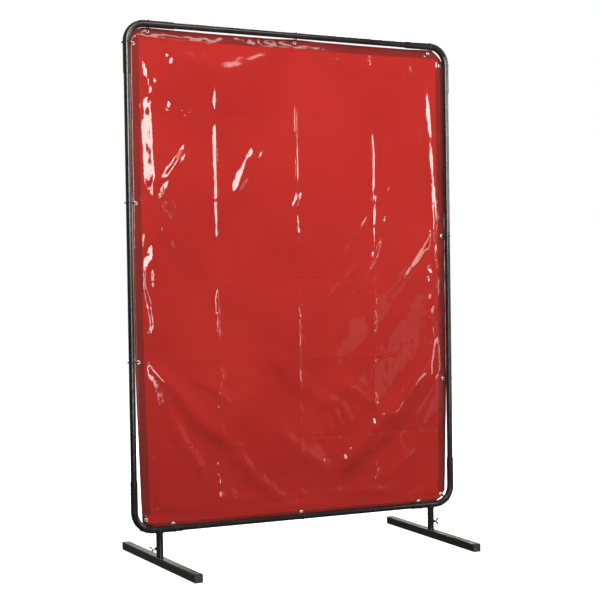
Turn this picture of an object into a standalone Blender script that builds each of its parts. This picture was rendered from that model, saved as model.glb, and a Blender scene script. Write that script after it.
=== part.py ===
"""Free-standing welding curtain screen.

A rectangular frame of slip-fitted round tubes stands on two square-tube feet. A red PVC
curtain lies just behind the frame and is tied to it by cable ties through its eyelets.
Metres, +Z up, X along the screen, front towards -Y, origin on the floor below the centre.
"""
import math

import bmesh
import bpy
from mathutils import Matrix, Vector
from mathutils.geometry import convex_hull_2d

# Clearance between neighbouring pieces
GAP = 0.0003

# Frame, measured between tube centre lines
FRAME_W = 1.308
FRAME_H = 1.800
BOTTOM_RAIL_Z = 0.1285
TUBE_OD = 0.0220
TUBE_WALL = 0.0012
ELBOW_WALL = 0.0015
ELBOW_LEG = 0.178
BEND_R = 0.068
SOCKET_DEPTH = 0.045
TUBE_SIDES = 24
BEND_STEPS = 10

# Stems welded below the bottom elbows, and the spigots that stand in them
STEM_IN = 0.092
STEM_OD = 0.0250
STEM_WALL = 0.0015
SPIGOT_WALL = 0.0015
SPIGOT_H = 0.062

# Feet: square tubes across the screen, closed by plastic plugs
FOOT_L = 0.700
FOOT_SIZE = 0.030
FOOT_WALL = 0.0015
FOOT_CORNER_R = 0.0025
LEFT_FOOT_TURN = math.radians(2.9)
RIGHT_FOOT_TURN = math.radians(-1.6)
FIXING_HOLE_D = 0.0085
FIXING_HOLE_IN = 0.060
PLUG_FLANGE = 0.0025
PLUG_DEPTH = 0.012
PLUG_WALL = 0.0020
PLUG_RECESS = 0.0008
PLUG_RIM = 0.0035

# Wing bolts, turned in a nut welded to the outer side of each stem
BOLT_RISE = 0.030
BOLT_D = 0.0060
BOLT_STANDOFF = 0.0030
LEFT_BOLT_TURN = math.radians(60)
RIGHT_BOLT_TURN = math.radians(8)
NUT_AF = 0.0100
NUT_H = 0.0055
BOLT_CHAMFER = 0.0009
HUB_R = 0.0048
HUB_NECK_R = 0.0038
HUB_TOP_R = 0.0026
HUB_H = 0.0090
HUB_ROUND = 0.0012
WING_T = 0.0026
WING_REACH = 0.0105
WING_RISE = 0.0115
WING_R = 0.0042
WING_ARC_START = math.radians(-55)
WING_ARC = math.radians(200)
WING_ARC_STEPS = 8
WING_DIP = 0.0068

# Curtain, lying behind the frame; each edge is in from the tubes' inner side, or behind them
CURTAIN_T = 0.0008
CURTAIN_STANDOFF = 0.0005
CURTAIN_LEFT_IN = 0.006
CURTAIN_RIGHT_IN = -0.006
CURTAIN_TOP_IN = 0.0
CURTAIN_BOTTOM_IN = -0.010
CORNER_CUT = 0.047

# Eyelets, set in from the curtain's edges
EYELET_OD = 0.0140
EYELET_BORE = 0.0070
EYELET_BARREL = 0.0008
EYELET_FLANGE = 0.0009
EYELET_SIDES = 16
EYELET_INSET = 0.012
TOP_ROW_END = 0.066
BOTTOM_ROW_END = 0.132
SIDE_ROW_TOP = 0.0585
SIDE_ROW_BOTTOM = 0.034
SIDE_ROW_BOTTOM_INSET = 0.030
RIGHT_ROW_DROP = 0.106

# Cable ties
TIE_T = 0.0012
TIE_W = 0.0036
TIE_SLACK = 0.0005
TIE_STEPS = 20
TIE_HEAD = 0.0048
TIE_HEAD_H = 0.0042
TIE_HEAD_AT = math.radians(140)

# Derived sizes
HALF_W = FRAME_W / 2
TOP_RAIL_Z = BOTTOM_RAIL_Z + FRAME_H
TUBE_R = TUBE_OD / 2
INSIDE_X = HALF_W - TUBE_R
ELBOW_R = TUBE_R + GAP + ELBOW_WALL
STEM_X = HALF_W - STEM_IN
STEM_R = STEM_OD / 2
SPIGOT_R = STEM_R - STEM_WALL - GAP
STEM_BOTTOM = FOOT_SIZE + GAP
BOLT_Z = FOOT_SIZE + BOLT_RISE
CURTAIN_FRONT = ELBOW_R + CURTAIN_STANDOFF
CURTAIN_BACK = CURTAIN_FRONT + CURTAIN_T
CURTAIN_MID = (CURTAIN_FRONT + CURTAIN_BACK) / 2
CURTAIN_LEFT = CURTAIN_LEFT_IN - INSIDE_X
CURTAIN_RIGHT = INSIDE_X - CURTAIN_RIGHT_IN
CURTAIN_TOP = TOP_RAIL_Z - TUBE_R - CURTAIN_TOP_IN
CURTAIN_BOTTOM = BOTTOM_RAIL_Z + TUBE_R + CURTAIN_BOTTOM_IN
EYELET_R = EYELET_OD / 2
EYELET_BORE_R = EYELET_BORE / 2
EYELET_HOLE_R = EYELET_BORE_R + EYELET_BARREL + GAP
EYELET_HALF_T = CURTAIN_T / 2 + GAP + EYELET_FLANGE
STRIP_END = math.sqrt(EYELET_BORE_R ** 2 - (TIE_W / 2) ** 2) - GAP


# ---------------------------------------------------------------- general helpers

def clear_scene():
    for obj in list(bpy.data.objects):
        bpy.data.objects.remove(obj, do_unlink=True)


def make_material(name, color, roughness, metallic=0.0):
    material = bpy.data.materials.new(name)
    material.use_nodes = True
    shader = material.node_tree.nodes["Principled BSDF"]
    shader.inputs["Base Color"].default_value = (*color, 1.0)
    shader.inputs["Roughness"].default_value = roughness
    shader.inputs["Metallic"].default_value = metallic
    return material


def mesh_from(verts, faces):
    """A mesh with its normals made consistent and facing out."""
    mesh = bpy.data.meshes.new("shape")
    mesh.from_pydata([tuple(v) for v in verts], [], faces)
    bm = bmesh.new()
    bm.from_mesh(mesh)
    bmesh.ops.recalc_face_normals(bm, faces=bm.faces)
    bm.to_mesh(mesh)
    bm.free()
    return mesh


def add_object(name, mesh, material=None, location=(0, 0, 0), rotation=(0, 0, 0), parent=None):
    obj = bpy.data.objects.new(name, mesh)
    bpy.context.collection.objects.link(obj)
    obj.location = location
    obj.rotation_euler = rotation
    obj.parent = parent
    if material is not None:
        mesh.materials.append(material)
    return obj


def shade_round(mesh, angle=math.radians(40)):
    mesh.shade_smooth()
    mesh.set_sharp_from_angle(angle=angle)
    return mesh


def as_tool(obj):
    """Mark an object as a helper shape that only serves a Boolean."""
    obj.hide_render = True
    obj.display_type = "WIRE"
    return obj


def add_boolean(obj, tool, operation):
    modifier = obj.modifiers.new(operation.lower(), "BOOLEAN")
    modifier.operation = operation
    modifier.solver = "EXACT"
    modifier.object = as_tool(tool)


def polar(radius, angle):
    return radius * math.cos(angle), radius * math.sin(angle)


def circle_angles(count):
    return [math.tau * i / count for i in range(count)]


# ---------------------------------------------------------------- shape builders

def skin_loops(loops, close_path=False, cap_ends=False):
    """Quads between equal loops of points; the path of loops can close or be capped."""
    size = len(loops[0])
    verts = [point for loop in loops for point in loop]
    faces = []
    spans = len(loops) if close_path else len(loops) - 1
    for i in range(spans):
        a = i * size
        b = (i + 1) % len(loops) * size
        for k in range(size):
            n = (k + 1) % size
            faces.append((a + k, a + n, b + n, b + k))
    if cap_ends:
        last = (len(loops) - 1) * size
        faces.append(tuple(range(size)))
        faces.append(tuple(range(last, last + size)))
    return mesh_from(verts, faces)


def turned_ring(profile, sides):
    """Turn a closed (radius, z) profile about Z."""
    loops = []
    for angle in circle_angles(sides):
        loops.append([(*polar(r, angle), z) for r, z in profile])
    return shade_round(skin_loops(loops, close_path=True))


def turned_solid(profile, sides):
    """Turn an open (radius, z) profile about Z and cap both ends."""
    loops = []
    for r, z in profile:
        loops.append([(*polar(r, angle), z) for angle in circle_angles(sides)])
    return shade_round(skin_loops(loops, cap_ends=True))


def tube_mesh(outer_r, inner_r, length, sides=TUBE_SIDES):
    """A round tube along Z, centred on the origin."""
    half = length / 2
    profile = [(outer_r, half), (outer_r, -half), (inner_r, -half), (inner_r, half)]
    return turned_ring(profile, sides)


def rounded_square(size, radius, arc_steps=3):
    """Points of a square with round corners, about the origin."""
    points = []
    inner = size / 2 - radius
    for quarter in range(4):
        start = quarter * math.pi / 2
        cx = inner if quarter in (0, 3) else -inner
        cy = inner if quarter in (0, 1) else -inner
        for step in range(arc_steps + 1):
            dx, dy = polar(radius, start + step / arc_steps * math.pi / 2)
            points.append((cx + dx, cy + dy))
    return points


def extruded(outline, depth):
    """Extrude an (x, z) outline along Y, centred on Y = 0."""
    front = [(x, -depth / 2, z) for x, z in outline]
    back = [(x, depth / 2, z) for x, z in outline]
    return skin_loops([front, back], cap_ends=True)


def joined_cylinders(centres, radius, depth, sides):
    """Separate cylinders along Y in one mesh, at (x, z) centres."""
    verts = []
    faces = []
    for cx, cz in centres:
        base = len(verts)
        for y in (-depth / 2, depth / 2):
            for angle in circle_angles(sides):
                dx, dz = polar(radius, angle)
                verts.append((cx + dx, y, cz + dz))
        for k in range(sides):
            n = (k + 1) % sides
            faces.append((base + k, base + n, base + sides + n, base + sides + k))
        faces.append(tuple(base + k for k in range(sides)))
        faces.append(tuple(base + sides + k for k in range(sides)))
    return mesh_from(verts, faces)


# ---------------------------------------------------------------- frame tubes

def elbow_path():
    """Centre points and directions of an elbow in the XZ plane, its corner at the origin."""
    stations = [((0, -ELBOW_LEG), (0, 1))]
    for step in range(BEND_STEPS + 1):
        turn = step / BEND_STEPS * math.pi / 2
        centre = (BEND_R - BEND_R * math.cos(turn), BEND_R * math.sin(turn) - BEND_R)
        stations.append((centre, (math.sin(turn), math.cos(turn))))
    stations.append(((ELBOW_LEG, 0), (1, 0)))
    return stations


def elbow_mesh():
    """A bent tube, open at both ends."""
    loops_out = []
    loops_in = []
    for (cx, cz), (tx, tz) in elbow_path():
        rings = []
        for radius in (ELBOW_R, ELBOW_R - ELBOW_WALL):
            ring = []
            for angle in circle_angles(TUBE_SIDES):
                side, depth = polar(radius, angle)
                ring.append((cx - tz * side, depth, cz + tx * side))
            rings.append(ring)
        loops_out.append(rings[0])
        loops_in.append(rings[1])
    mesh = skin_loops(loops_out + loops_in[::-1], close_path=True)
    return shade_round(mesh)


def build_elbows(paint):
    corners = {
        "top_left_elbow": (-HALF_W, TOP_RAIL_Z, 0),
        "top_right_elbow": (HALF_W, TOP_RAIL_Z, 1),
        "bottom_right_elbow": (HALF_W, BOTTOM_RAIL_Z, 2),
        "bottom_left_elbow": (-HALF_W, BOTTOM_RAIL_Z, 3),
    }
    for name, (x, z, quarter) in corners.items():
        add_object(name, elbow_mesh(), paint, (x, 0, z), (0, quarter * math.pi / 2, 0))


def build_straight_tubes(paint):
    hidden = 2 * (ELBOW_LEG - SOCKET_DEPTH)
    inner_r = TUBE_R - TUBE_WALL
    mid_z = (BOTTOM_RAIL_Z + TOP_RAIL_Z) / 2
    for name, x in (("left_upright", -HALF_W), ("right_upright", HALF_W)):
        add_object(name, tube_mesh(TUBE_R, inner_r, FRAME_H - hidden), paint, (x, 0, mid_z))
    for name, z in (("bottom_rail", BOTTOM_RAIL_Z), ("top_rail", TOP_RAIL_Z)):
        mesh = tube_mesh(TUBE_R, inner_r, FRAME_W - hidden)
        add_object(name, mesh, paint, (0, 0, z), (0, math.pi / 2, 0))


# ---------------------------------------------------------------- stems and wing bolts

def build_stem(side, sign, paint):
    """A short tube whose top is shaped to the elbow above it, with a hole for the bolt."""
    length = BOTTOM_RAIL_Z - STEM_BOTTOM
    centre_z = STEM_BOTTOM + length / 2
    mesh = tube_mesh(STEM_R, STEM_R - STEM_WALL, length)
    stem = add_object(side + "_stem", mesh, paint, (sign * STEM_X, 0, centre_z))
    saddle_mesh = turned_solid([(ELBOW_R + GAP, STEM_OD), (ELBOW_R + GAP, -STEM_OD)], 2 * TUBE_SIDES)
    saddle = add_object(side + "_stem_saddle", saddle_mesh, None,
                        (sign * STEM_X, 0, BOTTOM_RAIL_Z), (0, math.pi / 2, 0))
    add_boolean(stem, saddle, "DIFFERENCE")
    hole_r = BOLT_D / 2 + GAP
    hole_mesh = turned_solid([(hole_r, STEM_OD), (hole_r, 0)], TUBE_SIDES)
    hole = add_object(side + "_stem_hole", hole_mesh, None,
                      (sign * STEM_X, 0, BOLT_Z), (0, sign * math.pi / 2, 0))
    add_boolean(stem, hole, "DIFFERENCE")


def hexagon_ring(across_flats, bore_r, z0, z1, sides):
    """A hexagonal nut about Z, its bore turned from the same number of points."""
    def hexagon(angle):
        sector = (angle % (math.pi / 3)) - math.pi / 6
        return across_flats / 2 / math.cos(sector)

    loops = []
    for angle in circle_angles(sides):
        outer = hexagon(angle)
        section = [(outer, z0), (outer, z1), (bore_r, z1), (bore_r, z0)]
        loops.append([(*polar(r, angle), z) for r, z in section])
    return skin_loops(loops, close_path=True)


def build_weld_nut(side, sign, paint):
    """The nut's inner end is shaped to the stem that it is welded to."""
    bore_r = BOLT_D / 2 + GAP
    sunk = STEM_R - NUT_AF / 4
    mesh = hexagon_ring(NUT_AF, bore_r, sunk, STEM_R + NUT_H, TUBE_SIDES)
    turn = (0, sign * math.pi / 2, 0)
    nut = add_object(side + "_weld_nut", mesh, paint, (sign * STEM_X, 0, BOLT_Z), turn)
    seat_mesh = turned_solid([(STEM_R + GAP, STEM_OD), (STEM_R + GAP, -STEM_OD)], 2 * TUBE_SIDES)
    seat = add_object(side + "_nut_seat", seat_mesh, None, (sign * STEM_X, 0, BOLT_Z))
    add_boolean(nut, seat, "DIFFERENCE")


def wing_outline(base_z):
    """Both wings as one (x, z) outline, rising to either side of the hub."""
    points = [(HUB_NECK_R, base_z)]
    for step in range(WING_ARC_STEPS + 1):
        dx, dz = polar(WING_R, WING_ARC_START + step / WING_ARC_STEPS * WING_ARC)
        points.append((WING_REACH + dx, base_z + WING_RISE + dz))
    points.append((HUB_TOP_R, base_z + WING_DIP))
    mirrored = [(-x, z) for x, z in reversed(points)]
    return points + mirrored


def build_wing_bolt(side, sign, turn, zinc):
    """The bolt turns about its own local Z, which points out of the stem."""
    tip = SPIGOT_R + GAP
    base = STEM_R + NUT_H + BOLT_STANDOFF
    shank_r = BOLT_D / 2
    profile = [
        (HUB_TOP_R, base + HUB_H),
        (HUB_NECK_R, base + HUB_H - HUB_ROUND / 2),
        (HUB_R, base + HUB_ROUND),
        (HUB_NECK_R, base),
        (shank_r, base),
        (shank_r, tip + BOLT_CHAMFER),
        (shank_r - BOLT_CHAMFER, tip),
    ]
    axis = bpy.data.objects.new(side + "_bolt_axis", None)
    bpy.context.collection.objects.link(axis)
    axis.location = (sign * STEM_X, 0, BOLT_Z)
    axis.rotation_euler = (0, sign * math.pi / 2, 0)
    bolt = add_object(side + "_wing_bolt", turned_solid(profile, TUBE_SIDES), zinc,
                      rotation=(0, 0, turn), parent=axis)
    wings = add_object(side + "_wings", extruded(wing_outline(base), WING_T), None,
                       rotation=(0, 0, turn), parent=axis)
    bevel = wings.modifiers.new("round_edges", "BEVEL")
    bevel.width = WING_T / 5
    bevel.segments = 2
    add_boolean(bolt, wings, "UNION")


# ---------------------------------------------------------------- feet

def foot_tube_mesh():
    """A square tube along Y, shorter than the foot by its two plug flanges."""
    half = FOOT_L / 2 - PLUG_FLANGE - GAP
    outer = rounded_square(FOOT_SIZE, FOOT_CORNER_R)
    inner = rounded_square(FOOT_SIZE - 2 * FOOT_WALL, FOOT_CORNER_R - FOOT_WALL)
    path = [(outer, -half), (outer, half), (inner, half), (inner, -half)]
    loops = [[(x, y, z) for x, z in section] for section, y in path]
    return shade_round(skin_loops(loops, close_path=True))


def plug_mesh():
    """An end plug: outer face at Y = 0, its hollow body reaching towards +Y."""
    bore = FOOT_SIZE - 2 * FOOT_WALL - 2 * GAP
    bore_r = FOOT_CORNER_R - FOOT_WALL
    soft = PLUG_FLANGE / 4
    stages = [
        (FOOT_SIZE - 2 * PLUG_RIM - 2 * PLUG_RECESS, PLUG_RECESS),
        (FOOT_SIZE - 2 * PLUG_RIM, 0),
        (FOOT_SIZE - 2 * soft, 0),
        (FOOT_SIZE, soft),
        (FOOT_SIZE, PLUG_FLANGE),
        (bore, PLUG_FLANGE),
        (bore, PLUG_FLANGE + PLUG_DEPTH),
        (bore - 2 * PLUG_WALL, PLUG_FLANGE + PLUG_DEPTH),
        (bore - 2 * PLUG_WALL, PLUG_FLANGE + PLUG_WALL),
    ]
    loops = []
    for size, y in stages:
        radius = FOOT_CORNER_R if size >= FOOT_SIZE - 2 * soft else bore_r
        loops.append([(x, y, z) for x, z in rounded_square(size, radius)])
    return skin_loops(loops, cap_ends=True)


def build_foot(side, sign, turn, paint, plastic):
    """The foot turns about its stem: everything on it hangs from one empty on that axis."""
    axis = bpy.data.objects.new(side + "_foot_axis", None)
    bpy.context.collection.objects.link(axis)
    axis.location = (sign * STEM_X, 0, 0)
    axis.rotation_euler = (0, 0, turn)
    mid_z = FOOT_SIZE / 2
    foot = add_object(side + "_foot", foot_tube_mesh(), paint, (0, 0, mid_z), parent=axis)
    hole_y = FOOT_L / 2 - FIXING_HOLE_IN
    drill_mesh = joined_cylinders([(0, hole_y), (0, -hole_y)], FIXING_HOLE_D / 2, 2 * FOOT_SIZE, TUBE_SIDES)
    drill = add_object(side + "_foot_drill", drill_mesh, None, (0, 0, mid_z),
                       (math.pi / 2, 0, 0), axis)
    add_boolean(foot, drill, "DIFFERENCE")
    spigot_mesh = tube_mesh(SPIGOT_R, SPIGOT_R - SPIGOT_WALL, SPIGOT_H)
    add_object(side + "_foot_spigot", spigot_mesh, paint,
               (0, 0, FOOT_SIZE + GAP + SPIGOT_H / 2), parent=axis)
    for end, y, spin in (("front", -FOOT_L / 2, 0), ("rear", FOOT_L / 2, math.pi)):
        add_object(f"{side}_foot_{end}_plug", plug_mesh(), plastic, (0, y, mid_z), (0, 0, spin), axis)


# ---------------------------------------------------------------- curtain and eyelets

def eyelet_rows():
    """(name, x, z, distance to the curtain's edge) of every eyelet."""
    mid_x = (CURTAIN_LEFT + CURTAIN_RIGHT) / 2
    rows = []
    for row, z, end in (("top", CURTAIN_TOP - EYELET_INSET, TOP_ROW_END),
                        ("bottom", CURTAIN_BOTTOM + EYELET_INSET, BOTTOM_ROW_END)):
        for i, x in enumerate((CURTAIN_LEFT + end, mid_x, CURTAIN_RIGHT - end)):
            rows.append((f"{row}_{i + 1}", x, z, EYELET_INSET))
    first = CURTAIN_TOP - SIDE_ROW_TOP
    last = CURTAIN_BOTTOM + SIDE_ROW_BOTTOM
    corner_edge = (SIDE_ROW_BOTTOM_INSET + SIDE_ROW_BOTTOM - CORNER_CUT) / math.sqrt(2)
    for row, edge, inward, drop in (("left", CURTAIN_LEFT, 1, 0),
                                    ("right", CURTAIN_RIGHT, -1, RIGHT_ROW_DROP)):
        for i in range(4):
            inner = i in (1, 2)
            z = first + (last - first) * i / 3 - (drop if inner else 0)
            inset = SIDE_ROW_BOTTOM_INSET if i == 3 else EYELET_INSET
            margin = corner_edge if i == 3 else EYELET_INSET
            rows.append((f"{row}_{i + 1}", edge + inward * inset, z, margin))
    return rows


def curtain_outline():
    """A rectangle whose corners are folded back along their diagonals."""
    left, right, low, high = CURTAIN_LEFT, CURTAIN_RIGHT, CURTAIN_BOTTOM, CURTAIN_TOP
    cut = CORNER_CUT
    return [
        (left + cut, low), (right - cut, low), (right, low + cut), (right, high - cut),
        (right - cut, high), (left + cut, high), (left, high - cut), (left, low + cut),
    ]


def build_curtain(pvc):
    curtain = add_object("curtain", extruded(curtain_outline(), CURTAIN_T), pvc, (0, CURTAIN_MID, 0))
    centres = [(x, z) for _, x, z, _ in eyelet_rows()]
    punch_mesh = joined_cylinders(centres, EYELET_HOLE_R, 10 * CURTAIN_T, EYELET_SIDES)
    punch = add_object("eyelet_punch", punch_mesh, None, (0, CURTAIN_MID, 0))
    add_boolean(curtain, punch, "DIFFERENCE")


def eyelet_mesh():
    """A rolled ring with a flange on each face of the curtain."""
    barrel_r = EYELET_BORE_R + EYELET_BARREL
    groove = CURTAIN_T / 2 + GAP
    half = EYELET_HALF_T
    crown_r = (EYELET_BORE_R + EYELET_R) / 2
    profile = [
        (EYELET_BORE_R, -groove), (EYELET_BORE_R, groove),
        (crown_r, half), (EYELET_R, groove), (barrel_r, groove),
        (barrel_r, -groove), (EYELET_R, -groove), (crown_r, -half),
    ]
    return turned_ring(profile, EYELET_SIDES)


def build_eyelets(nickel):
    for name, x, z, _ in eyelet_rows():
        add_object("eyelet_" + name, eyelet_mesh(), nickel, (x, CURTAIN_MID, z), (math.pi / 2, 0, 0))


# ---------------------------------------------------------------- cable ties

def nearest_tube(x, z):
    """Centre (x, z) and radius of the tube nearest to an eyelet."""
    from_side = HALF_W - abs(x)
    from_rail = min(TOP_RAIL_Z - z, z - BOTTOM_RAIL_Z)
    side_x = math.copysign(HALF_W, x)
    rail_z = TOP_RAIL_Z if TOP_RAIL_Z - z < z - BOTTOM_RAIL_Z else BOTTOM_RAIL_Z
    if from_side < BEND_R and from_rail < BEND_R:
        bend_x = side_x - math.copysign(BEND_R, x)
        bend_z = rail_z + (BEND_R if rail_z == BOTTOM_RAIL_Z else -BEND_R)
        out = Vector((x - bend_x, z - bend_z)).normalized() * BEND_R
        return bend_x + out.x, bend_z + out.y, ELBOW_R
    if from_side < from_rail:
        return side_x, z, ELBOW_R if from_rail < ELBOW_LEG else TUBE_R
    return x, rail_z, ELBOW_R if from_side < ELBOW_LEG else TUBE_R


def wrap_hull(points, distance, finest_turn=math.radians(30)):
    """Offset the convex hull of some points, rounding its sharper corners."""
    hull = [Vector(points[i]) for i in convex_hull_2d(points)]
    wrapped = []
    for i, corner in enumerate(hull):
        before = (corner - hull[i - 1]).normalized()
        after = (hull[(i + 1) % len(hull)] - corner).normalized()
        turn = after.angle_signed(before)
        steps = max(1, math.ceil(turn / finest_turn))
        for step in range(steps):
            along = Matrix.Rotation(turn * (step + 0.5) / steps, 2)
            out = along @ Vector((before.y, -before.x))
            wrapped.append(corner + out * distance / math.cos(turn / steps / 2))
    return wrapped


def tie_mesh(reach, margin, tube_r):
    """A strap drawn round the tube and the hem, through an eyelet `reach` away along X."""
    round_r = tube_r / math.cos(math.pi / TIE_STEPS)
    points = [polar(round_r, angle) for angle in circle_angles(TIE_STEPS)]
    for x in (reach - STRIP_END, reach - margin - TIE_SLACK):
        for y in (CURTAIN_MID - EYELET_HALF_T, CURTAIN_MID + EYELET_HALF_T):
            points.append((x, y))
    half = TIE_W / 2
    loops = []
    for inner, outer in zip(wrap_hull(points, GAP), wrap_hull(points, GAP + TIE_T)):
        loops.append([(inner.x, inner.y, -half), (outer.x, outer.y, -half),
                      (outer.x, outer.y, half), (inner.x, inner.y, half)])
    return skin_loops(loops, close_path=True)


def build_tie(name, x, z, margin, nylon):
    tube_x, tube_z, tube_r = nearest_tube(x, z)
    reach = math.hypot(x - tube_x, z - tube_z)
    turn = math.atan2(tube_z - z, x - tube_x)
    tie = add_object("tie_" + name, tie_mesh(reach, margin, tube_r), nylon,
                     (tube_x, 0, tube_z), (0, turn, 0))
    half = TIE_HEAD / 2
    head_outline = [(0, -half), (TIE_HEAD_H, -half), (TIE_HEAD_H, half), (0, half)]
    head = add_object("tie_head_" + name, extruded(head_outline, TIE_HEAD), None,
                      (*polar(tube_r + GAP + TIE_T / 2, TIE_HEAD_AT), 0), (0, 0, TIE_HEAD_AT), tie)
    add_boolean(tie, head, "UNION")


# ---------------------------------------------------------------- assembly

def main():
    clear_scene()
    paint = make_material("black_powder_coat", (0.022, 0.020, 0.020), 0.30)
    plastic = make_material("black_plastic", (0.045, 0.043, 0.043), 0.45)
    zinc = make_material("zinc_plate", (0.62, 0.60, 0.58), 0.35, 1.0)
    nickel = make_material("nickel_plate", (0.80, 0.80, 0.80), 0.25, 1.0)
    nylon = make_material("black_nylon", (0.020, 0.020, 0.020), 0.50)
    pvc = make_material("red_pvc", (0.55, 0.030, 0.026), 0.20)
    build_elbows(paint)
    build_straight_tubes(paint)
    for side, sign, foot_turn, bolt_turn in (("left", -1, LEFT_FOOT_TURN, LEFT_BOLT_TURN),
                                             ("right", 1, RIGHT_FOOT_TURN, RIGHT_BOLT_TURN)):
        build_stem(side, sign, paint)
        build_weld_nut(side, sign, paint)
        build_wing_bolt(side, sign, bolt_turn, zinc)
        build_foot(side, sign, foot_turn, paint, plastic)
    build_curtain(pvc)
    build_eyelets(nickel)
    for name, x, z, margin in eyelet_rows():
        build_tie(name, x, z, margin, nylon)


main()
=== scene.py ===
"""Looks for the welding curtain screen: a glossy red PVC sheet in a black tubular frame."""
import math

import bmesh
import bpy
import numpy as np
from mathutils import Matrix, Vector, noise


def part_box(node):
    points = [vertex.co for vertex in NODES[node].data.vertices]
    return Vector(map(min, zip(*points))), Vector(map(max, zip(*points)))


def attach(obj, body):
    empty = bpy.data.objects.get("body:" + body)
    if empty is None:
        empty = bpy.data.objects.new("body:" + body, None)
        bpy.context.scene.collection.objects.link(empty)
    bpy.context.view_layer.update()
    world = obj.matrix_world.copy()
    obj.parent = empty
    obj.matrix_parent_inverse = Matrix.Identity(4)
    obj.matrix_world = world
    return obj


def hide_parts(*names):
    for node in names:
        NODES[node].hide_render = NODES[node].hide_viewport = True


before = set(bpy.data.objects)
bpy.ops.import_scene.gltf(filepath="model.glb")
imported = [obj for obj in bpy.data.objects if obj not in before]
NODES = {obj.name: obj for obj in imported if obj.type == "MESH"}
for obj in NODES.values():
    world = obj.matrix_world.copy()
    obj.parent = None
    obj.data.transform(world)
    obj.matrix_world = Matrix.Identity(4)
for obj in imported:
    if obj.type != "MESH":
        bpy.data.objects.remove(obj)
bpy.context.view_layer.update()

SCENE = bpy.context.scene

# ------------------------------------------------------------------ the sheet, from the frame

SHEET_LOW, SHEET_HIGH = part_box("curtain")
LEFT, RIGHT = SHEET_LOW.x, SHEET_HIGH.x
BOTTOM, TOP = SHEET_LOW.z, SHEET_HIGH.z
WIDTH = RIGHT - LEFT
HEIGHT = TOP - BOTTOM
SHEET_T = SHEET_HIGH.y - SHEET_LOW.y
MID_Y = (SHEET_LOW.y + SHEET_HIGH.y) / 2

# Hems
HEM = 0.033
HEM_BOTTOM = 0.020
HEM_EXTRA = SHEET_T * 0.9               # what a hem's second layer adds
HEM_BAND = (0.95, 0.98)                 # where the top and right hems begin, as shares

# Corners, folded back behind the elbows
CORNER_CUT = 0.047                      # from the outline's corner to the fold, along an edge
CORNER_TURN_TOP = math.radians(52)
CORNER_TURN_BOTTOM = math.radians(60)
CORNER_BEND = 0.004                     # how far past the fold line the turn is complete
CORNER_BEND_START = 0.35                # share of the turn made at the fold line
CORNER_LIFT = 0.0022
CORNER_SNAP = 0.0004

# The grids: the simulated one, and the final one with closer lines beside creases and hems
COARSE_STEP = 0.0125
FINE_STEP = 0.0068
CREASE_STEP = 0.0022
CREASE_REACH = 0.013
SEAM_LINES = (-0.0012, 0, 0.0012, 0.0030)   # lines inwards from a hem's inner edge
SEAM_CLEAR = 0.0016
FOLDS_ACROSS = 4
FOLDS_DOWN = 6

# The cloth simulation
SIM_FRAMES = 26
GROWTH = 0.0022                         # how much larger than its outline the film is cut
GRAVITY = 0.35
PIN_REACH = 0.017
START_WAVE = 0.0022
START_EDGE = 0.12
CLOTH = {
    "quality": 6,
    "mass": 0.12,
    "tension_stiffness": 60,
    "compression_stiffness": 60,
    "shear_stiffness": 30,
    "bending_stiffness": 1.6,
    "air_damping": 4,
    "shrink_min": -GROWTH,
    "vertex_group_mass": "pins",
}

# How much of the simulated offset is kept, and its limits sideways, up and back
SLACK = 0.55
EDGE_SLACK = 0.35
EDGE_BAND = 0.045
SIDE_LIMITS = (-0.004, 0.004)
RISE_LIMITS = (-0.0025, 0.002)
BACK_LIMITS = (-0.020, 0.030)

# Near the eyelets the sheet keeps its place: (none of the offset, all of it) at these distances
HELD_OFFSET = (0.006, 0.022)
HELD_DETAIL = (0.008, 0.030)
HELD_DRAW = (0.007, 0.020)

# How far the lowest ties draw each side hem in
DRAWN_SIDES = (("left", LEFT, 0.016), ("right", RIGHT, 0.013))
DRAWN_REACH = 0.10
DRAWN_START = 0.03

# Vertical packing creases: how high each stands, and where it is sharp, as shares of the height
CREASE_HEIGHTS = (0.0036, 0.0027, 0.0036)
CREASE_RUNS = (
    ((0.02, 0.13), (0.23, 0.32), (0.37, 0.49), (0.58, 0.89)),
    ((0.24, 0.46), (0.57, 0.88)),
    ((0.05, 0.12), (0.38, 0.44), (0.56, 0.82)),
)
CREASE_FAINT = 0.0008
CREASE_WIDTH = 0.0095
CREASE_ROUND = 0.0010
CROSS_HEIGHT = 0.0014
CROSS_FAINT = 0.0004
CROSS_WIDTH = 0.010

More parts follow.
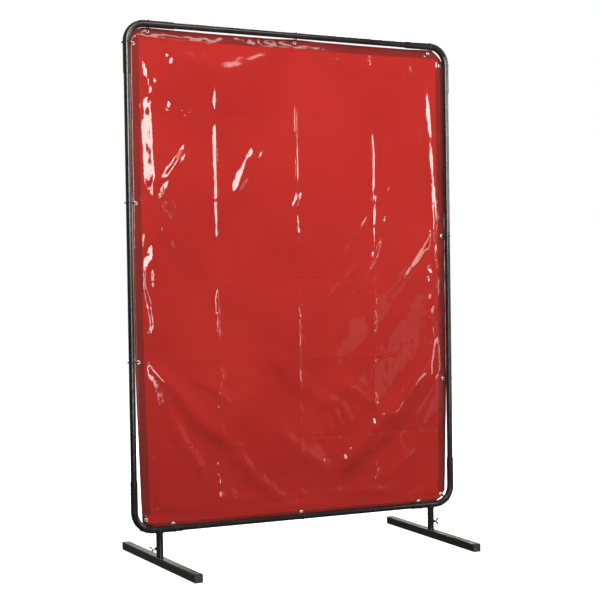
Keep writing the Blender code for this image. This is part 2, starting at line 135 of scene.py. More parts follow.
# Wrinkles as (across, up) of both ends, as shares of the sheet, then width and height in metres
WRINKLES = (
    (0.060, 0.68, 0.160, 0.76, 0.010, 0.0034),
    (0.085, 0.69, 0.190, 0.80, 0.009, 0.0026),
    (0.150, 0.70, 0.215, 0.80, 0.008, 0.0024),
    (0.300, 0.66, 0.400, 0.78, 0.009, 0.0034),
    (0.335, 0.65, 0.430, 0.77, 0.010, 0.0026),
    (0.460, 0.60, 0.520, 0.70, 0.008, 0.0022),
    (0.620, 0.53, 0.780, 0.70, 0.011, 0.0026),
    (0.700, 0.48, 0.800, 0.62, 0.009, 0.0026),
    (0.740, 0.55, 0.830, 0.76, 0.010, 0.0022),
    (0.560, 0.44, 0.700, 0.55, 0.009, 0.0020),
    (0.955, 0.68, 0.975, 0.46, 0.009, 0.0026),
    (0.030, 0.56, 0.055, 0.40, 0.010, 0.0026),
    (0.035, 0.330, 0.340, 0.110, 0.034, 0.0100),
    (0.035, 0.325, 0.220, 0.060, 0.024, 0.0060),
    (0.160, 0.310, 0.300, 0.240, 0.014, 0.0036),
    (0.250, 0.150, 0.470, 0.030, 0.026, 0.0070),
    (0.380, 0.360, 0.640, 0.200, 0.034, 0.0060),
    (0.560, 0.300, 0.860, 0.190, 0.034, 0.0070),
    (0.600, 0.070, 0.960, 0.330, 0.030, 0.0115),
    (0.600, 0.060, 0.880, 0.230, 0.030, 0.0070),
    (0.400, 0.210, 0.620, 0.060, 0.030, 0.0060),
    (0.740, 0.060, 0.900, 0.120, 0.018, 0.0040),
    (0.100, 0.055, 0.900, 0.035, 0.016, 0.0030),
)

# Flat-sided folds pulled tight between two points, in the same terms
TIGHT_FOLDS = (
    (0.060, 0.86, 0.064, 0.66, 0.036, 0.0052),
    (0.038, 0.94, 0.078, 0.85, 0.010, 0.0018),
    (0.080, 0.66, 0.170, 0.775, 0.020, 0.0035),
    (0.040, 0.67, 0.095, 0.745, 0.008, 0.0016),
    (0.130, 0.71, 0.205, 0.790, 0.008, 0.0014),
    (0.295, 0.670, 0.390, 0.790, 0.024, 0.0054),
    (0.345, 0.70, 0.400, 0.760, 0.009, 0.0020),
    (0.938, 0.92, 0.957, 0.60, 0.020, 0.0023),
    (0.735, 0.52, 0.830, 0.72, 0.008, 0.0014),
    (0.660, 0.45, 0.740, 0.56, 0.008, 0.0014),
)

# Crushed areas: (across, up) of the middle and half sizes, as shares of the sheet, then height
CRUSHED = (
    (0.050, 0.87, 0.045, 0.06, 0.0046),
    (0.050, 0.77, 0.040, 0.10, 0.0010),
    (0.115, 0.835, 0.070, 0.035, 0.0062),
    (0.110, 0.74, 0.080, 0.06, 0.0022),
    (0.090, 0.945, 0.070, 0.03, 0.0042),
    (0.030, 0.50, 0.025, 0.22, 0.0044),
    (0.250, 0.83, 0.040, 0.05, 0.0018),
    (0.340, 0.74, 0.075, 0.07, 0.0024),
    (0.960, 0.76, 0.030, 0.16, 0.0018),
    (0.965, 0.52, 0.025, 0.14, 0.0048),
    (0.720, 0.52, 0.130, 0.13, 0.0034),
    (0.500, 0.60, 0.030, 0.05, 0.0030),
    (0.240, 0.42, 0.030, 0.04, 0.0030),
    (0.520, 0.40, 0.040, 0.08, 0.0026),
    (0.780, 0.36, 0.100, 0.06, 0.0032),
    (0.240, 0.13, 0.150, 0.10, 0.0030),
    (0.320, 0.27, 0.200, 0.08, 0.0028),
    (0.700, 0.20, 0.240, 0.13, 0.0026),
    (0.500, 0.06, 0.450, 0.05, 0.0034),
)
CRUSHED_ELSEWHERE = 0.0006
CRUSHED_FADE = (0.45, 1.3)
FILM_WAVE = 0.0022                      # the film's long waves, all over
HEM_RIPPLE = 0.0009
TOP_RIPPLE = 0.00315                    # more at the top left
RIGHT_RIPPLE = 0.00135                  # and half way up the right side
TOP_WAVE = 0.0050
TOP_LEAN = 0.10                         # slope of the top hem, which leans back

# Weld beads
STEM_BEAD_R = 0.0021
NUT_BEAD_R = 0.0011
BEAD_STEPS = 120
BEAD_SIDES = 10
BEAD_RIPPLES = 24
BEAD_RIPPLE = 0.10

# Camera: place in metres, angles in degrees, lens and sensor in millimetres
CAMERA_AT = (-2.0345, -4.3710, 0.9357)
CAMERA_YAW = -25.05
CAMERA_PITCH = -1.28
CAMERA_ROLL = 0.85
CAMERA_LENS = 77.1
CAMERA_SENSOR = 36
CAMERA_SHIFT = (-0.0015, 0.0507)

# The white surround: as seen, as it lights the object, and as the gloss mirrors it
SURROUND = 1.0
SURROUND_FILL = 0.03
SURROUND_GLOSS = 0.12
SURROUND_GLOSS_BEHIND = 0.55
BEHIND_FULL = 0.5                       # how far back a direction points when it is all behind
HORIZON = (-0.04, 0.12)                 # heights between which the brighter part comes in
FLOOR_GLOW = 0.985
FLOOR_REACH = 30
FLOOR_DROP = 0.0005

# Softboxes: name, place, what they face, width and height, watts, spread in degrees
LIGHT_TINT = (1.0, 0.95, 0.89)
SOFTBOXES = (
    ("key_light", (-0.9, -2.3, 3.7), (0, 0, 1.9), (2.2, 1.4), 12.5, 95),
    ("front_box", (-0.45, -3.7, 2.30), (-0.2, 0, 2.30), (0.9, 1.9), 100, 180),
    ("right_box", (3.0, -2.5, 2.0), (0.2, 0, 2.0), (0.6, 1.3), 44, 180),
    ("low_front_box", (-0.45, -3.6, 0.62), (-0.2, 0, 0.62), (0.34, 1.0), 13.5, 180),
    ("low_right_box", (3.0, -2.5, 0.65), (0.2, 0, 0.65), (0.28, 1.0), 6.5, 180),
    ("low_veil", (2.25, -2.8, 0.50), (0, 0, 0.4), (0.6, 0.7), 0.6, 180),
    ("high_strip", (1.30, -3.6, 4.20), (0, 0, 1.8), (1.5, 0.9), 30, 180),
    ("back_fill", (1.8, 4.2, 3.2), (0, 0, 1.0), (2.5, 2.0), 220, 180),
)


# ------------------------------------------------------------------ helpers

def smooth(edge0, edge1, value):
    """0 before edge0, 1 after edge1, and a smooth rise between."""
    t = np.clip((value - edge0) / (edge1 - edge0), 0, 1)
    return t * t * (3 - 2 * t)


def centre(node):
    low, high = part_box(node)
    return (low + high) / 2


def new_object(name, data):
    obj = bpy.data.objects.new(name, data)
    SCENE.collection.objects.link(obj)
    return obj


def evaluated_points(obj):
    shown = obj.evaluated_get(bpy.context.evaluated_depsgraph_get())
    mesh = shown.to_mesh()
    points = np.zeros(len(mesh.vertices) * 3)
    mesh.vertices.foreach_get("co", points)
    shown.to_mesh_clear()
    return points.reshape(-1, 3)


def apply_modifiers(obj):
    """Swap the mesh for its evaluated one, and drop the modifiers."""
    shown = obj.evaluated_get(bpy.context.evaluated_depsgraph_get())
    mesh = bpy.data.meshes.new_from_object(shown)
    obj.modifiers.clear()
    obj.data = mesh


# ------------------------------------------------------------------ materials

class Nodes:
    """A material's node tree, with short calls to add and link nodes."""

    def __init__(self, name, base, roughness, metallic=0.0, **sockets):
        self.material = bpy.data.materials.new(name)
        self.material.use_nodes = True
        self.tree = self.material.node_tree
        self.shader = self.tree.nodes["Principled BSDF"]
        self.shader.inputs["Base Color"].default_value = (*base, 1)
        self.shader.inputs["Roughness"].default_value = roughness
        self.shader.inputs["Metallic"].default_value = metallic
        for socket, value in sockets.items():
            self.shader.inputs[socket.replace("_", " ")].default_value = value
        self.place = self.add("ShaderNodeTexCoord").outputs["Object"]

    def add(self, kind, **inputs):
        """A new node, with its input sockets set by name."""
        node = self.tree.nodes.new(kind)
        for socket, value in inputs.items():
            node.inputs[socket.replace("_", " ")].default_value = value
        return node

    def link(self, output, target):
        self.tree.links.new(output, target)

    def stretched(self, along_z):
        """Object coordinates, with another scale along Z."""
        mapping = self.add("ShaderNodeMapping", Scale=(1, 1, along_z))
        self.link(self.place, mapping.inputs["Vector"])
        return mapping.outputs["Vector"]

    def noise(self, scale, detail=3, place=None, distortion=0.0):
        node = self.add("ShaderNodeTexNoise", Scale=scale, Detail=detail, Distortion=distortion)
        self.link(place or self.place, node.inputs["Vector"])
        return node.outputs["Fac"]

    def cells(self, scale):
        node = self.add("ShaderNodeTexVoronoi", Scale=scale)
        self.link(self.place, node.inputs["Vector"])
        return node.outputs["Distance"]

    def colour(self, value, low, high, dark, light):
        """Feed the base colour: `dark` where the value is `low`, and `light` where it is `high`."""
        node = self.add("ShaderNodeValToRGB")
        for stop, at, shade in zip(node.color_ramp.elements, (low, high), (dark, light)):
            stop.position = at
            stop.color = (*shade, 1)
        self.link(value, node.inputs["Fac"])
        self.feed("Base Color", node.outputs["Color"])

    def roughness(self, value, low, high, out_low, out_high):
        """Feed the roughness: `out_low` where the value is `low`, and so on."""
        node = self.add("ShaderNodeMapRange", From_Min=low, From_Max=high,
                        To_Min=out_low, To_Max=out_high)
        self.link(value, node.inputs["Value"])
        self.feed("Roughness", node.outputs["Result"])

    def bump(self, height, distance, strength, under=None):
        node = self.add("ShaderNodeBump", Distance=distance, Strength=strength)
        self.link(height, node.inputs["Height"])
        if under is not None:
            self.link(under, node.inputs["Normal"])
        return node.outputs["Normal"]

    def feed(self, socket, output):
        self.link(output, self.shader.inputs[socket])


def pvc_material(name, dark, light, roughness):
    """Glossy plasticised PVC: clouded red, small scuffs, and a faint orange-peel surface."""
    m = Nodes(name, light, roughness, IOR=1.5, Specular_IOR_Level=0.5)
    m.colour(m.noise(2.3, 4, distortion=0.6), 0.32, 0.70, dark, light)
    scuffs = m.noise(38, 5, m.stretched(0.45), 0.8)
    m.roughness(scuffs, 0.35, 0.75, roughness * 0.75, roughness * 1.7)
    crinkle = m.bump(m.noise(26, 3, m.stretched(0.55), 0.4), 0.0011, 0.55)
    m.feed("Normal", m.bump(m.noise(420, 2), 0.00006, 0.5, crinkle))
    return m.material


def powder_coat_material():
    """Semi-gloss black powder coat with orange peel, dust and handling scuffs."""
    m = Nodes("powder_coat_look", (0.022, 0.020, 0.020), 0.28)
    dust = m.noise(7, 5, distortion=0.4)
    m.colour(dust, 0.35, 0.75, (0.012, 0.010, 0.0095), (0.026, 0.022, 0.021))
    m.roughness(m.noise(40, 4), 0.3, 0.7, 0.17, 0.25)
    m.feed("Normal", m.bump(m.noise(900, 2), 0.00004, 0.35))
    return m.material


def zinc_material():
    """Bright zinc plate: a passivated, faintly mottled metal."""
    m = Nodes("zinc_look", (0.62, 0.60, 0.58), 0.34, 1.0)
    m.colour(m.cells(260), 0.1, 0.8, (0.46, 0.45, 0.44), (0.72, 0.70, 0.67))
    m.roughness(m.noise(320), 0.3, 0.7, 0.26, 0.5)
    m.feed("Normal", m.bump(m.noise(900), 0.0001, 0.5))
    return m.material


def nickel_material():
    """Rolled nickel-plated brass, with the drawing marks of its tool."""
    m = Nodes("nickel_look", (0.90, 0.90, 0.90), 0.32, 0.7)
    marks = m.noise(520, 3, m.stretched(0.3))
    m.colour(marks, 0.3, 0.7, (0.80, 0.80, 0.81), (0.95, 0.95, 0.94))
    m.roughness(m.noise(240), 0.3, 0.7, 0.24, 0.42)
    m.feed("Normal", m.bump(marks, 0.00008, 0.4))
    return m.material


def nylon_material():
    """Black nylon, slightly silky and finely grained."""
    m = Nodes("nylon_look", (0.020, 0.020, 0.020), 0.45)
    grain = m.noise(600)
    m.colour(grain, 0.3, 0.7, (0.012, 0.012, 0.012), (0.034, 0.033, 0.033))
    m.roughness(grain, 0.3, 0.7, 0.38, 0.56)
    m.feed("Normal", m.bump(m.noise(1500, 2), 0.00006, 0.5))
    return m.material


def plug_material():
    """Moulded black polyethylene with a spark-eroded texture."""
    m = Nodes("plug_look", (0.045, 0.043, 0.043), 0.5)
    grain = m.cells(1400)
    m.colour(m.noise(60, 4), 0.3, 0.7, (0.035, 0.033, 0.033), (0.066, 0.062, 0.062))
    m.roughness(grain, 0.0, 0.8, 0.62, 0.44)
    m.feed("Normal", m.bump(grain, 0.0001, 0.6))
    return m.material


def weld_material():
    """A painted weld bead: the same coat, a little rougher over the ripples."""
    m = Nodes("weld_look", (0.024, 0.022, 0.022), 0.36)
    m.colour(m.noise(120, 4), 0.3, 0.7, (0.016, 0.015, 0.015), (0.040, 0.037, 0.036))
    m.roughness(m.noise(300), 0.3, 0.7, 0.28, 0.5)
    m.feed("Normal", m.bump(m.noise(500), 0.0003, 0.6))
    return m.material


def floor_material():
    """A white floor that glows enough to meet the white surround without an edge."""
    m = Nodes("floor_look", (0.86, 0.86, 0.86), 0.75, Emission_Strength=FLOOR_GLOW,
              Emission_Color=(1, 1, 1, 1))
    m.colour(m.noise(1.5, 4), 0.3, 0.7, (0.84, 0.84, 0.84), (0.88, 0.88, 0.88))
    return m.material


def dress_nodes():
    """Give every CAD node the material of its finish."""
    coat = powder_coat_material()
    starts = {"eyelet_": nickel_material(), "tie_": nylon_material()}
    ends = {"_plug": plug_material(), "_wing_bolt": zinc_material()}
    for name, obj in NODES.items():
        looks = [look for text, look in starts.items() if name.startswith(text)]
        looks += [look for text, look in ends.items() if name.endswith(text)]
        obj.data.materials.clear()
        obj.data.materials.append(looks[0] if looks else coat)


# ------------------------------------------------------------------ the sheet's flat grid

def fold_lines(low, high, count):
    """The creases that fold a length into `count` equal parts."""
    return [low + (high - low) * i / count for i in range(1, count)]


def grid_lines(low, high, creases, first_hem=HEM):
    """Grid coordinates: even, closer near creases, and exact at the hem's inner edge."""
    lines = list(np.linspace(low, high, round((high - low) / FINE_STEP) + 1))
    beside = np.arange(-CREASE_REACH, CREASE_REACH + CREASE_STEP / 2, CREASE_STEP)
    for crease in creases:
        lines = [x for x in lines if abs(x - crease) > CREASE_REACH + CREASE_STEP / 2]
        lines += list(crease + beside)
    for hem, inward in ((low + first_hem, 1), (high - HEM, -1)):
        seam = [hem + inward * step for step in SEAM_LINES]
        lines = [x for x in lines if min(abs(x - s) for s in seam) > SEAM_CLEAR] + seam
    return np.array(sorted(lines))


def cubic_weights(new, old):
    """Rows of Catmull-Rom weights that read even samples `old` at `new`."""
    step = old[1] - old[0]
    weights = np.zeros((len(new), len(old)))
    for row, value in enumerate(new):
        at = min(max((value - old[0]) / step, 0), len(old) - 1.000001)
        i = int(at)
        t = at - i
        kernel = ((-t + 2 * t * t - t ** 3) / 2, (2 - 5 * t * t + 3 * t ** 3) / 2,
                  (t + 4 * t * t - 3 * t ** 3) / 2, (t ** 3 - t * t) / 2)
        for k, weight in enumerate(kernel):
            weights[row, min(max(i - 1 + k, 0), len(old) - 1)] += weight
    return weights


def grid_mesh(name, points):
    """Quads over a (rows, columns, 3) array of points."""
    rows, columns, _ = points.shape
    index = np.arange(rows * columns).reshape(rows, columns)
    quads = np.stack([index[:-1, :-1], index[:-1, 1:], index[1:, 1:], index[1:, :-1]], -1)
    mesh = bpy.data.meshes.new(name)
    mesh.from_pydata(points.reshape(-1, 3).tolist(), [], quads.reshape(-1, 4).tolist())
    return mesh


def eyelet_distance(x, z):
    near = np.full(np.shape(x), np.inf)
    for name in sorted(NODES):
        if name.startswith("eyelet_"):
            point = centre(name)
            near = np.minimum(near, np.hypot(x - point.x, z - point.z))
    return near


def edge_distance(x, z):
    return np.minimum(np.minimum(x - LEFT, RIGHT - x), np.minimum(z - BOTTOM, TOP - z))


def hem_distance(x, z):
    """Distance in from the edge, where the bottom hem is the narrow one."""
    sides = np.minimum(x - LEFT, RIGHT - x)
    return np.minimum(sides, np.minimum(z - BOTTOM + HEM - HEM_BOTTOM, TOP - z))


# ------------------------------------------------------------------ the sheet hung in its ties

def hung_sheet(xs, zs):
    """Cloth simulation: a sheet with a little slack hangs from its eyelets.
    Returns the offset of each point of the coarse grid from the flat sheet."""
    x, z = np.meshgrid(xs, zs)
    flat = np.stack([x, np.full(x.shape, MID_Y), z], -1)
    wave = START_WAVE * np.sin(x * 11 + z * 4) * np.cos(z * 7 - x * 3)
    wave *= smooth(0, START_EDGE, edge_distance(x, z))
    points = np.stack([x, MID_Y + wave, z], -1)
    obj = new_object("hanging_sheet", grid_mesh("hanging_sheet", points))
    pins = obj.vertex_groups.new(name="pins")
    held = np.flatnonzero(eyelet_distance(x, z).ravel() < PIN_REACH)
    pins.add(held.tolist(), 1.0, "REPLACE")
    cloth = obj.modifiers.new("hang", "CLOTH")
    for setting, value in CLOTH.items():
        setattr(cloth.settings, setting, value)
    cloth.settings.effector_weights.gravity = GRAVITY
    cloth.collision_settings.use_collision = False
    cloth.point_cache.frame_start = 1
    cloth.point_cache.frame_end = SIM_FRAMES
    for step in range(1, SIM_FRAMES + 1):
        SCENE.frame_set(step)
    hung = evaluated_points(obj).reshape(*x.shape, 3)
    SCENE.frame_set(1)
    bpy.data.objects.remove(obj)
    return hung - flat


# ------------------------------------------------------------------ creases and wrinkles

def line_noise(along, scale, row, layer):
    """Smooth noise at each place along a line. `row` and `layer` pick the pattern."""
    return np.array([noise.noise(Vector((a * scale, row, layer))) for a in along])


def noise_field(x, z, scale_x, scale_z, layer):
    flat = zip((x * scale_x).ravel().tolist(), (z * scale_z).ravel().tolist())
    return np.array([noise.noise(Vector((a, b, layer))) for a, b in flat]).reshape(x.shape)


def crumple(x, z, scale_x, scale_z, layer):
    """Sharp-edged facets, as in film that has been crushed and pulled out again."""
    first = noise_field(x + 0.35 * z, z - 0.3 * x, scale_x, scale_z, layer)
    second = noise_field(x - 0.5 * z, z + 0.4 * x, 2.1 * scale_x, 2.1 * scale_z, layer + 5)
    return np.abs(first) + 0.45 * np.abs(second)


def crease_strength(along, runs, seed, low, high):
    """Height of a crease at each place along it: `high` in its runs, and `low` between them."""
    sharp = np.zeros(len(along))
    for start, end in runs:
        begun = smooth(start - 0.02, start + 0.02, along)
        ended = smooth(end - 0.03, end + 0.01, along)
        sharp = np.maximum(sharp, begun * (1 - ended))
    uneven = 0.85 + 0.5 * line_noise(along, 22, seed * 7.3, 0.5)
    return low + (high - low) * sharp * uneven


def ridge(distance, width):
    """A rounded cusp of height 1, falling away to either side."""
    return np.exp(-(np.sqrt(distance ** 2 + CREASE_ROUND ** 2) - CREASE_ROUND) / width)


def packed_creases(xs, zs):
    """Height towards the back of the creases left from folding the sheet for its bag."""
    height = np.zeros((len(zs), len(xs)))
    up = (zs - BOTTOM) / HEIGHT
    across = (xs - LEFT) / WIDTH
    for i, x in enumerate(fold_lines(LEFT, RIGHT, FOLDS_ACROSS)):
        wander = 0.0022 * line_noise(zs, 4, i * 5.1, 0) + 0.0012 * line_noise(zs, 30, i * 5.1, 4)
        strength = crease_strength(up, CREASE_RUNS[i], i, CREASE_FAINT, CREASE_HEIGHTS[i])
        height -= strength[:, None] * ridge(xs[None, :] - x - wander[:, None], CREASE_WIDTH)
    for i, z in enumerate(fold_lines(BOTTOM, TOP, FOLDS_DOWN)):
        wander = 0.0026 * line_noise(xs, 4, i * 3.7, 9)
        runs = ((0.08 + 0.05 * i, 0.30 + 0.04 * i), (0.55 - 0.03 * i, 0.90 - 0.04 * i))
        strength = crease_strength(across, runs, i + 9, CROSS_FAINT, CROSS_HEIGHT)
        side = -1 if i % 2 else 1
        cusp = ridge(zs[:, None] - z - wander[None, :], CROSS_WIDTH)
        height += side * strength[None, :] * cusp
    return height


def line_frame(x, z, x0, z0, x1, z1):
    """How far each point is along a line, as a share of it, and to its side, in metres."""
    start = np.array([LEFT + x0 * WIDTH, BOTTOM + z0 * HEIGHT])
    run = np.array([LEFT + x1 * WIDTH, BOTTOM + z1 * HEIGHT]) - start
    length = math.hypot(*run)
    ux, uz = run / length
    along = ((x - start[0]) * ux + (z - start[1]) * uz) / length
    return along, (x - start[0]) * -uz + (z - start[1]) * ux


def line_wrinkle(x, z, *ends, width, height):
    """A long soft ridge between two points, dying out at both ends."""
    along, across = line_frame(x, z, *ends)
    across = across - 0.35 * width * np.sin(along * math.tau * 1.3 + ends[0] * 20)
    fade = smooth(-0.05, 0.3, along) * (1 - smooth(0.7, 1.05, along))
    return -height * fade * np.exp(-(across / width) ** 2)


def tight_fold(x, z, *ends, width, height):
    """A ridge with flat sides between two points."""
    along, across = line_frame(x, z, *ends)
    fade = smooth(-0.05, 0.25, along) * (1 - smooth(0.75, 1.05, along))
    taper = width * (0.35 + 0.65 * fade)
    rounded = np.sqrt(across ** 2 + CREASE_ROUND ** 2)
    return -height * fade * np.clip(1 - rounded / taper, 0, 1)


def crushed_height(across, up):
    """How much the film is crushed at each place."""
    height = np.full(across.shape, CRUSHED_ELSEWHERE)
    for x0, z0, half_x, half_z, tall in CRUSHED:
        reach = np.hypot((across - x0) / half_x, (up - z0) / half_z)
        height = np.maximum(height, tall * (1 - smooth(*CRUSHED_FADE, reach)))
    return height


def hem_ripples(x, z, across, up):
    """The hems' own ripples: short ones all round, and long ones along the top."""
    top = smooth(*HEM_BAND, up)
    loose = HEM_RIPPLE + TOP_RIPPLE * top * (1 - smooth(0.42, 0.52, across))
    half_way = smooth(0.40, 0.45, up) * (1 - smooth(0.60, 0.65, up))
    loose += RIGHT_RIPPLE * smooth(*HEM_BAND, across) * half_way
    long_waves = TOP_WAVE * noise_field(x, z, 4, 46, 3.0) + TOP_LEAN * (z - TOP + HEM / 2)
    return loose * crumple(x, z, 17, 13, 12.0) + top * long_waves


def surface_detail(xs, zs):
    """Everything finer than the simulation, as an offset towards the back."""
    x, z = np.meshgrid(xs, zs)
    across, up = (x - LEFT) / WIDTH, (z - BOTTOM) / HEIGHT
    height = packed_creases(xs, zs)
    for shape, rows in ((line_wrinkle, WRINKLES), (tight_fold, TIGHT_FOLDS)):
        for *ends, width, tall in rows:
            height += shape(x, z, *ends, width=width, height=tall)
    height += crushed_height(across, up) * crumple(x, z, 21, 15, 3.0)
    height += FILM_WAVE * noise_field(x + 0.4 * z, z - 0.5 * x, 9, 4, 8.0)
    free = smooth(HEM * 0.7, HEM * 1.5, edge_distance(x, z))
    detail = height * free + hem_ripples(x, z, across, up) * (1 - free)
    return detail * smooth(*HELD_DETAIL, eyelet_distance(x, z))


# ------------------------------------------------------------------ corners, thickness and sheet

def corner_folds():
    """(point on the fold line, direction out of the sheet, fold angle) of each corner."""
    folds = []
    for across, x in ((-1, LEFT), (1, RIGHT)):
        for up, z, turn in ((-1, BOTTOM, CORNER_TURN_BOTTOM), (1, TOP, CORNER_TURN_TOP)):
            diagonal = Vector((across, 0, up))
            point = Vector((x, 0, z)) - diagonal * CORNER_CUT / 2
            folds.append((point, diagonal.normalized(), turn))
    return folds


def fold_corners(obj, flat):
    """Turn what lies past each corner's fold line towards the back.
    `flat` holds each point's place on the uncut sheet."""
    for point, out, angle in corner_folds():
        past = (flat[:, 0] - point.x) * out.x + (flat[:, 2] - point.z) * out.z
        for i in np.flatnonzero(past > 0):
            d = past[i]
            vertex = obj.data.vertices[i].co
            turn = angle * min(1.0, CORNER_BEND_START + d / CORNER_BEND)
            shift = d * (math.cos(turn) - 1)
            vertex.x += out.x * shift
            vertex.z += out.z * shift
            vertex.y += d * math.sin(turn) + CORNER_LIFT * min(1.0, d / CORNER_BEND)


def split_at_folds(mesh):
    """Cut the grid along the corners' fold lines."""
    bm = bmesh.new()
    bm.from_mesh(mesh)
    for point, out, _ in corner_folds():
        bmesh.ops.bisect_plane(bm, geom=bm.verts[:] + bm.edges[:] + bm.faces[:],
                               dist=CORNER_SNAP, plane_co=point, plane_no=out)
    bm.to_mesh(mesh)
    bm.free()


def drawn_in(x, z):
    """How far sideways the lowest ties draw the side hems."""
    shift = np.zeros_like(x)
    for side, edge, most in DRAWN_SIDES:
        start = centre(f"eyelet_{side}_3").z - DRAWN_START
        end = centre(f"eyelet_{side}_4").z
        down = np.clip((start - z) / (start - end), 0, 1)
        near = 1 - smooth(HEM, DRAWN_REACH, np.abs(x - edge))
        shift += math.copysign(most, -edge) * down * near
    return shift * smooth(*HELD_DRAW, eyelet_distance(x, z))


def sheet_points():
    """The final grid: each point of the hung and creased sheet, and its place on the flat one."""
    coarse_x = np.linspace(LEFT, RIGHT, round(WIDTH / COARSE_STEP) + 1)
    coarse_z = np.linspace(BOTTOM, TOP, round(HEIGHT / COARSE_STEP) + 1)
    offset = hung_sheet(coarse_x, coarse_z)
    xs = grid_lines(LEFT, RIGHT, fold_lines(LEFT, RIGHT, FOLDS_ACROSS))
    zs = grid_lines(BOTTOM, TOP, fold_lines(BOTTOM, TOP, FOLDS_DOWN), HEM_BOTTOM)
    wx, wz = cubic_weights(xs, coarse_x), cubic_weights(zs, coarse_z)
    side_x, back, side_z = np.einsum("ri,ijk,cj->krc", wz, offset, wx)
    x, z = np.meshgrid(xs, zs)

    # Near the tubes the sheet keeps behind them and in its own outline
    near = 1 - smooth(HEM * 0.6, HEM + EDGE_BAND, edge_distance(x, z))
    held = smooth(*HELD_OFFSET, eyelet_distance(x, z))
    back = SLACK * (back * (1 - near) + np.abs(back) * EDGE_SLACK * near)
    side_x = np.clip(side_x, *SIDE_LIMITS) * held + drawn_in(x, z)
    side_z = np.clip(side_z, *RISE_LIMITS) * held
    back = np.clip(back, *BACK_LIMITS) * held + surface_detail(xs, zs)
    points = np.stack([x + side_x, MID_Y + back, z + side_z], -1)
    return points, np.stack([x, np.zeros_like(x), z], -1)


def give_thickness(obj, hemmed):
    """Make the film a closed sheet, thicker where it is hemmed."""
    thick = obj.vertex_groups.new(name="thickness")
    thin = SHEET_T / (SHEET_T + HEM_EXTRA)
    thick.add(np.flatnonzero(hemmed).tolist(), 1.0, "REPLACE")
    thick.add(np.flatnonzero(~hemmed).tolist(), thin, "REPLACE")
    solid = obj.modifiers.new("thickness", "SOLIDIFY")
    solid.thickness = SHEET_T + HEM_EXTRA
    solid.offset = 0
    solid.vertex_group = "thickness"
    apply_modifiers(obj)


def build_curtain():
    """The PVC sheet: hung, creased, hemmed, folded at its corners and given its thickness."""
    points, flat = sheet_points()
    mesh = grid_mesh("curtain_sheet", points)
    place = mesh.attributes.new("flat_place", "FLOAT_VECTOR", "POINT")
    place.data.foreach_set("vector", flat.ravel())
    obj = new_object("curtain_sheet", mesh)
    split_at_folds(mesh)
    flat = np.zeros(len(mesh.vertices) * 3)
    mesh.attributes["flat_place"].data.foreach_get("vector", flat)
    flat = flat.reshape(-1, 3)
    fold_corners(obj, flat)

    film = pvc_material("curtain_look", (0.40, 0.020, 0.017), (0.46, 0.026, 0.021), 0.055)
    double = pvc_material("hem_look", (0.19, 0.018, 0.016), (0.25, 0.026, 0.022), 0.075)
    mesh.materials.append(film)
    mesh.materials.append(double)
    inside = hem_distance(flat[:, 0], flat[:, 2])
    for face in mesh.polygons:
        face.material_index = int(np.mean(inside[list(face.vertices)]) < HEM)
    mesh.shade_smooth()
    give_thickness(obj, inside < HEM + 0.0001)
    obj.data.attributes.remove(obj.data.attributes["flat_place"])
    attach(obj, "frame")
    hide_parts("curtain")


# ------------------------------------------------------------------ weld beads

def circle(radius):
    """Evenly spaced points round a circle."""
    for i in range(BEAD_STEPS):
        turn = math.tau * i / BEAD_STEPS
        yield radius * math.cos(turn), radius * math.sin(turn)


def weld_bead(name, middle, ring, bead_r, material):
    """A rippled bead along a closed ring of points round `middle`."""
    count = len(ring)
    points = []
    for i, point in enumerate(ring):
        along = (ring[(i + 1) % count] - ring[i - 1]).normalized()
        out = (point - middle).normalized()
        up = along.cross(out).normalized()
        out = up.cross(along)
        size = bead_r * (1 + BEAD_RIPPLE * math.cos(i / count * math.tau * BEAD_RIPPLES))
        for k in range(BEAD_SIDES):
            turn = math.tau * k / BEAD_SIDES
            points.append(point + (out * math.cos(turn) + up * math.sin(turn)) * size)
    faces = []
    for i in range(count):
        here, after = i * BEAD_SIDES, (i + 1) % count * BEAD_SIDES
        for k in range(BEAD_SIDES):
            n = (k + 1) % BEAD_SIDES
            faces.append((here + k, here + n, after + n, after + k))
    mesh = bpy.data.meshes.new(name)
    mesh.from_pydata(points, [], faces)
    mesh.materials.append(material)
    bm = bmesh.new()
    bm.from_mesh(mesh)
    bmesh.ops.recalc_face_normals(bm, faces=bm.faces)
    bm.to_mesh(mesh)
    bm.free()
    mesh.shade_smooth()
    obj = new_object(name, mesh)
    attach(obj, "frame")


def build_welds():
    """Fillet beads where each stem meets its bottom elbow, and round each weld nut."""
    coat = weld_material()
    rail_z = centre("bottom_rail").z
    for side in ("left", "right"):
        low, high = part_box(side + "_stem")
        stem_x = centre(side + "_stem").x
        stem_r = (high.x - low.x) / 2
        elbow_low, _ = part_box(f"bottom_{side}_elbow")
        elbow_r = rail_z - elbow_low.z
        ring = [Vector((stem_x + dx, dy, rail_z - math.sqrt(max(elbow_r ** 2 - dy ** 2, 0))))
                for dx, dy in circle(stem_r)]
        weld_bead(side + "_stem_weld", Vector((stem_x, 0, rail_z - elbow_r)), ring,
                  STEM_BEAD_R, coat)
        low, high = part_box(side + "_weld_nut")
        nut = centre(side + "_weld_nut")
        out = math.copysign(1, nut.x)
        ring = [Vector((stem_x + out * math.sqrt(stem_r ** 2 - dy ** 2), dy, nut.z + dz))
                for dy, dz in circle((high.z - low.z) / 2)]
        weld_bead(side + "_nut_weld", Vector((stem_x + out * stem_r, 0, nut.z)), ring,
                  NUT_BEAD_R, coat)


# ------------------------------------------------------------------ stage, light and camera

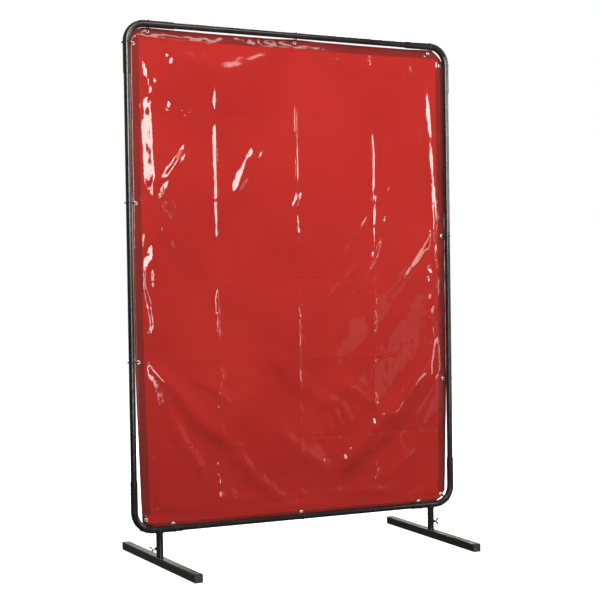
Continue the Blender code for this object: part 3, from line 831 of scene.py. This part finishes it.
def build_stage():
    mesh = bpy.data.meshes.new("floor")
    reach = FLOOR_REACH
    corners = [(-reach, -reach, 0), (reach, -reach, 0), (reach, reach, 0), (-reach, reach, 0)]
    mesh.from_pydata(corners, [], [(0, 1, 2, 3)])
    floor = new_object("floor", mesh)
    floor.location.z = -FLOOR_DROP
    floor.visible_glossy = False
    floor.visible_diffuse = False
    mesh.materials.append(floor_material())


def build_surround():
    """A surround that looks white, lights the object faintly, and is mirrored dark in front
    and brighter above the horizon behind."""
    world = bpy.data.worlds.new("surround")
    world.use_nodes = True
    SCENE.world = world
    nodes, link = world.node_tree.nodes, world.node_tree.links.new
    rays = nodes.new("ShaderNodeLightPath").outputs
    place = nodes.new("ShaderNodeTexCoord")
    direction = nodes.new("ShaderNodeSeparateXYZ")
    above = nodes.new("ShaderNodeMapRange")
    above.inputs["From Min"].default_value, above.inputs["From Max"].default_value = HORIZON
    high_behind = nodes.new("ShaderNodeMath")
    high_behind.operation = "MULTIPLY"
    gloss = nodes.new("ShaderNodeMapRange")
    gloss.inputs["From Max"].default_value = BEHIND_FULL
    gloss.inputs["To Min"].default_value = SURROUND_GLOSS
    gloss.inputs["To Max"].default_value = SURROUND_GLOSS_BEHIND
    seen = nodes.new("ShaderNodeMix")
    seen.inputs[2].default_value = SURROUND_FILL
    seen.inputs[3].default_value = SURROUND
    mirrored = nodes.new("ShaderNodeMix")
    background = nodes["Background"]
    background.inputs["Color"].default_value = (1, 1, 1, 1)
    link(place.outputs["Generated"], direction.inputs[0])
    link(direction.outputs["Z"], above.inputs["Value"])
    link(direction.outputs["Y"], high_behind.inputs[0])
    link(above.outputs["Result"], high_behind.inputs[1])
    link(high_behind.outputs[0], gloss.inputs["Value"])
    link(rays["Is Camera Ray"], seen.inputs[0])
    link(rays["Is Glossy Ray"], mirrored.inputs[0])
    link(seen.outputs[0], mirrored.inputs[2])
    link(gloss.outputs["Result"], mirrored.inputs[3])
    link(mirrored.outputs[0], background.inputs["Strength"])


def build_softboxes():
    """A high key, softboxes that the creases and hems catch, and a fill from behind."""
    for name, at, towards, size, power, spread in SOFTBOXES:
        light = bpy.data.lights.new(name, "AREA")
        light.shape = "RECTANGLE"
        light.size, light.size_y = size
        light.energy = power
        light.color = LIGHT_TINT
        light.spread = math.radians(spread)
        obj = new_object(name, light)
        obj.location = at
        facing = Vector(towards) - Vector(at)
        obj.rotation_euler = facing.to_track_quat("-Z", "Y").to_euler()


def build_camera():
    camera = bpy.data.cameras.new("camera")
    camera.lens = CAMERA_LENS
    camera.sensor_width = CAMERA_SENSOR
    camera.shift_x, camera.shift_y = CAMERA_SHIFT
    obj = new_object("camera", camera)
    turn = (Matrix.Rotation(math.radians(CAMERA_YAW), 4, "Z")
            @ Matrix.Rotation(math.radians(90 + CAMERA_PITCH), 4, "X")
            @ Matrix.Rotation(math.radians(-CAMERA_ROLL), 4, "Z"))
    obj.matrix_world = Matrix.Translation(CAMERA_AT) @ turn
    bpy.context.scene.camera = obj


def main():
    SCENE.view_settings.view_transform = "Standard"
    build_stage()
    build_surround()
    build_softboxes()
    build_camera()
    dress_nodes()
    build_curtain()
    build_welds()


main()
